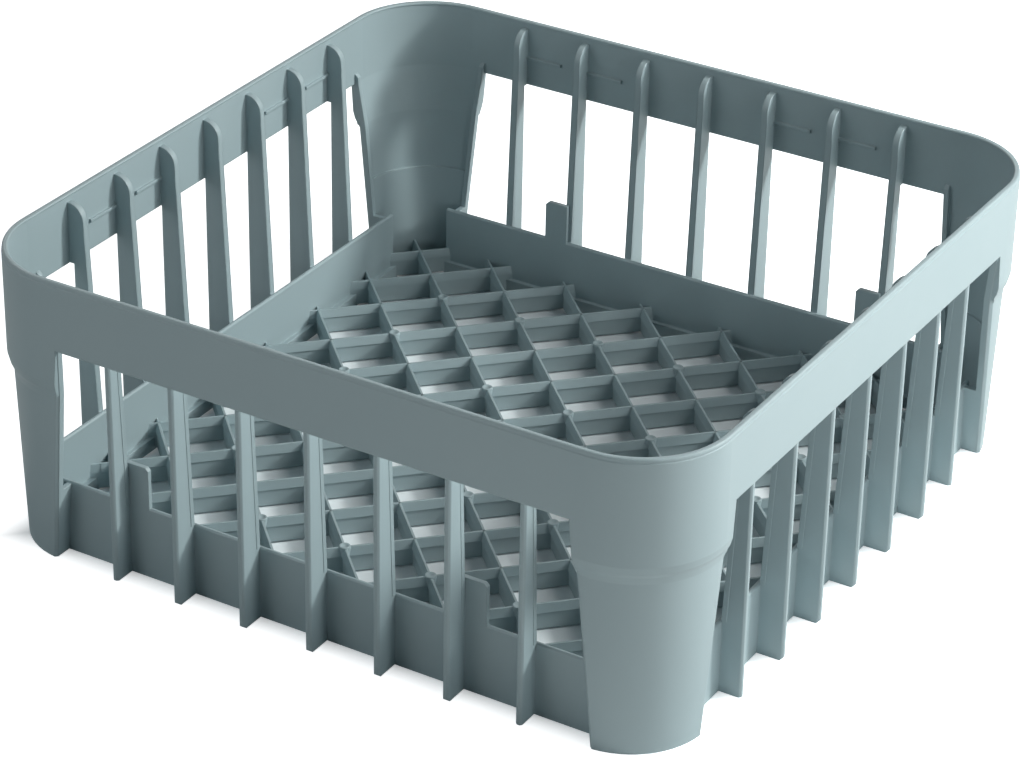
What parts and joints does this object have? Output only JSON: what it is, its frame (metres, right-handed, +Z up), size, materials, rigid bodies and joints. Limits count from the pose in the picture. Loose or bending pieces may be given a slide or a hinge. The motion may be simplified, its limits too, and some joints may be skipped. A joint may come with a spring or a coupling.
{
  "type": "dishwasher glass rack",
  "caption": "Square open-topped plastic glass rack with a smooth top band, corner posts, upright slats along the sides and a diamond grid floor.",
  "frame": {"origin": "on the surface the rack stands on, under the centre of its square plan", "axes": "+Z up out of the open top; X and Y square to the walls; the wall at -Y faces the viewer's left in the picture, the wall at +X the right"},
  "size_m": [0.4, 0.4, 0.162],
  "materials": {
    "rack_plastic": "satin grey-blue polypropylene"
  },
  "bodies": {
    "root": {"glass_rack": "rack_plastic"}
  },
  "joints": []
}
